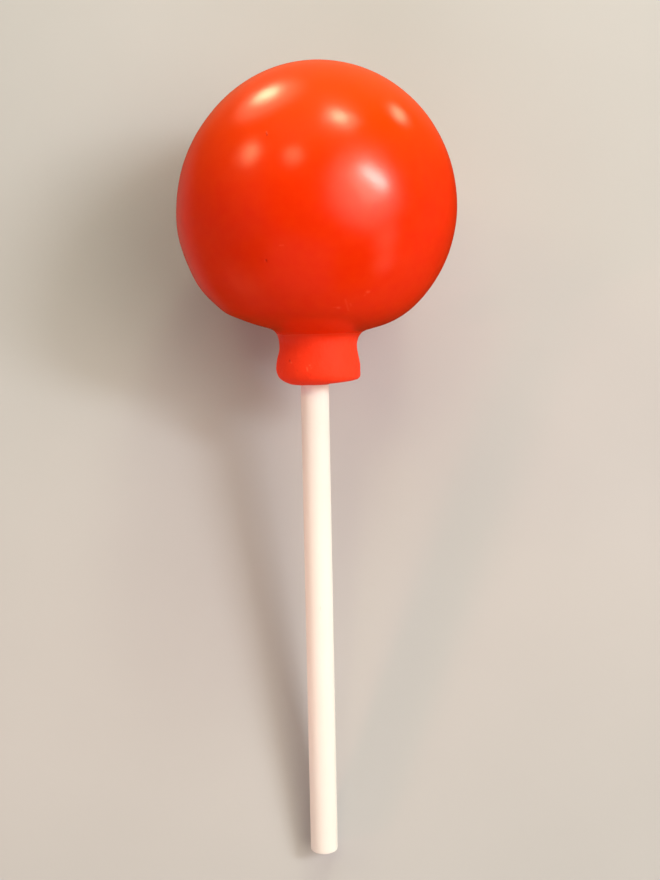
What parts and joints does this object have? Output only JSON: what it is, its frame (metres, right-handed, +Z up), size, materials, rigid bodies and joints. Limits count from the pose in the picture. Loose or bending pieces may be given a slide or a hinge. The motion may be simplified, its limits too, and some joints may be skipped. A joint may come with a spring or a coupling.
{
  "type": "cake pop",
  "caption": "Round cake pop in a smooth red coating with a short flared collar round its white paper stick, lying on its back.",
  "frame": {"origin": "on the floor, under the middle of the lying pop's box", "axes": "+Y along the lying pop towards the ball's crown, +Z up towards the side that the picture shows, +X to the picture's right"},
  "size_m": [0.0428, 0.1238, 0.0424],
  "materials": {
    "coating": "smooth red candy coating with a soft satin shine",
    "paper_stick": "white rolled paper, matt"
  },
  "bodies": {
    "root": {"coated_cake": "coating", "stick": "paper_stick"}
  },
  "joints": []
}
